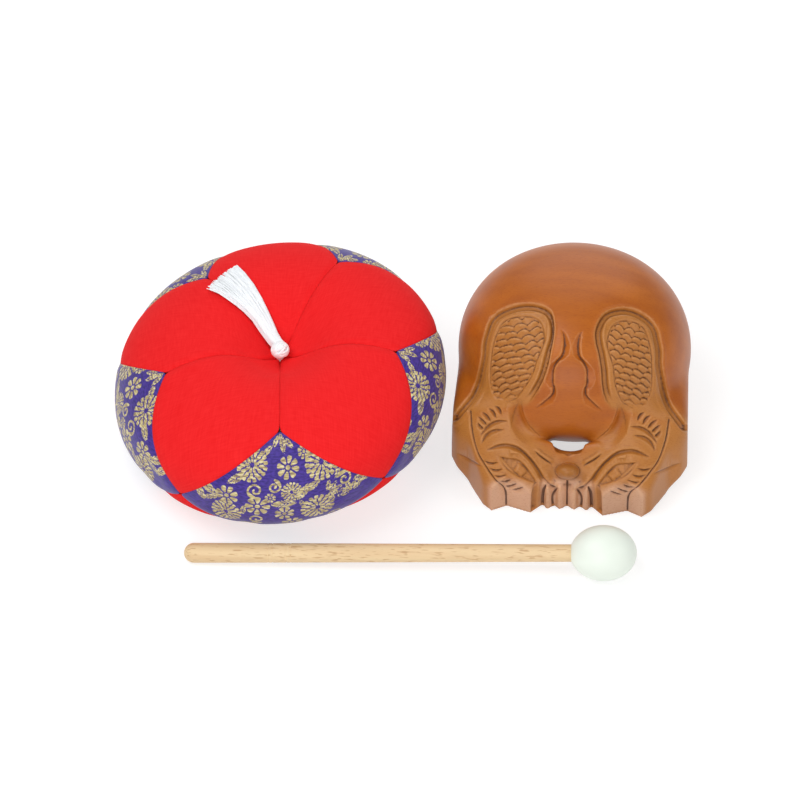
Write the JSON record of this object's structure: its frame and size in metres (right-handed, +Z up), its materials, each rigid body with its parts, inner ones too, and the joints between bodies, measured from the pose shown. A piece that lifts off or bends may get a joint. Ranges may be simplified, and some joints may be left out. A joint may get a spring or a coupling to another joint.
{
  "type": "wooden fish percussion set",
  "caption": "Carved round wooden bell with a dragon-head loop handle and a saw-cut mouth, beside its stuffed tufted cushion with a tassel and a stick striker with an egg-shaped rubber head.",
  "frame": {"origin": "middle of the bell's flat foot, on the table that all three things stand on", "axes": "+Z up, the bell's handle towards -Y, the cushion towards -X, the striker in front along X"},
  "size_m": [0.2527, 0.159, 0.081],
  "materials": {
    "carved_wood": "waxed, satin",
    "beech": "bare, sanded",
    "white_rubber": "matte",
    "red_cloth": "plain weave, dull",
    "brocade": "figured, silky",
    "cotton_filling": "loose wadding",
    "white_thread": "silky thread"
  },
  "bodies": {
    "bell": {"bell_body": "carved_wood"},
    "cushion": {"top_petal_1": "red_cloth", "top_petal_2": "red_cloth", "top_petal_3": "red_cloth", "top_petal_4": "red_cloth", "top_petal_5": "red_cloth", "brocade_panel_1": "brocade", "brocade_panel_2": "brocade", "brocade_panel_3": "brocade", "brocade_panel_4": "brocade", "brocade_panel_5": "brocade", "base_petal_1": "red_cloth", "base_petal_2": "red_cloth", "base_petal_3": "red_cloth", "base_petal_4": "red_cloth", "base_petal_5": "red_cloth", "stuffing": "cotton_filling", "tie_cord": "white_thread", "tassel_knot": "white_thread", "base_knot": "white_thread"},
    "tassel": {"tassel_skirt": "white_thread"},
    "striker": {"striker_handle": "beech", "striker_head": "white_rubber"}
  },
  "joints": [
    {"name": "cushion_lift", "type": "slide", "parent": "bell", "child": "cushion", "axis": [0, 0, 1], "range_m": [0, 0.1]},
    {"name": "striker_lift", "type": "slide", "parent": "bell", "child": "striker", "axis": [0, 0, 1], "range_m": [0, 0.1]},
    {"name": "tassel_swing", "type": "hinge", "parent": "cushion", "child": "tassel", "pos_m": [-0.1285, -0.022, 0.05378], "axis": [0.7455, 0.6665, 0], "range_deg": [0, 75]}
  ]
}
